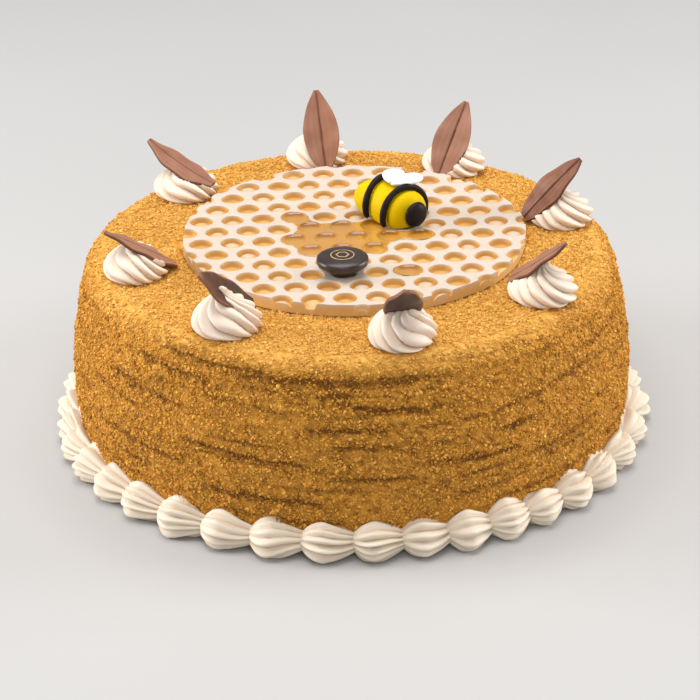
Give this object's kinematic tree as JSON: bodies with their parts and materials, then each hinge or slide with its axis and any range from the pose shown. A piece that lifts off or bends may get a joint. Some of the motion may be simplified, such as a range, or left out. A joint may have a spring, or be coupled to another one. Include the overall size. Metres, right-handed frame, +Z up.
{
  "type": "medovik honey cake",
  "caption": "Tall round crumb-coated honey cake with a piped cream foot border, a honeycomb plaque, cream rosettes with chocolate leaves, a fondant bee and a chocolate button.",
  "frame": {"origin": "middle of the cake's flat base", "axes": "+Z up, -Y towards the viewer"},
  "size_m": [0.2536, 0.2526, 0.113],
  "materials": {
    "crumb": "golden brown cake crumb, dry and rough",
    "cream": "piped light beige cream, satin",
    "white_chocolate": "ivory white chocolate, satin",
    "honey": "clear amber honey, wet gloss",
    "milk_chocolate": "moulded milk chocolate, satin",
    "yellow_fondant": "yellow sugar fondant, satin",
    "black_fondant": "black sugar fondant, satin",
    "white_fondant": "white sugar fondant, satin",
    "dark_chocolate": "dark chocolate, satin gloss"
  },
  "bodies": {
    "root": {"cake_body": "crumb", "shell_border": "cream", "honeycomb_plaque": "white_chocolate", "honey_cell_1": "honey", "honey_cell_2": "honey", "honey_cell_3": "honey", "honey_cell_4": "honey", "honey_cell_5": "honey", "honey_cell_6": "honey", "honey_cell_7": "honey", "honey_cell_8": "honey", "honey_cell_9": "honey", "honey_cell_10": "honey", "honey_cell_11": "honey", "honey_cell_12": "honey", "honey_cell_13": "honey", "rosette_1": "cream", "rosette_2": "cream", "rosette_3": "cream", "rosette_4": "cream", "rosette_5": "cream", "rosette_6": "cream", "rosette_7": "cream", "rosette_8": "cream", "leaf_1": "milk_chocolate", "leaf_2": "milk_chocolate", "leaf_3": "milk_chocolate", "leaf_4": "milk_chocolate", "leaf_5": "milk_chocolate", "leaf_6": "milk_chocolate", "leaf_7": "milk_chocolate", "leaf_8": "milk_chocolate", "bee_body": "yellow_fondant", "bee_band_1": "black_fondant", "bee_band_2": "black_fondant", "bee_face": "black_fondant", "bee_wing_1": "white_fondant", "bee_wing_2": "white_fondant", "chocolate_button": "dark_chocolate"}
  },
  "joints": []
}
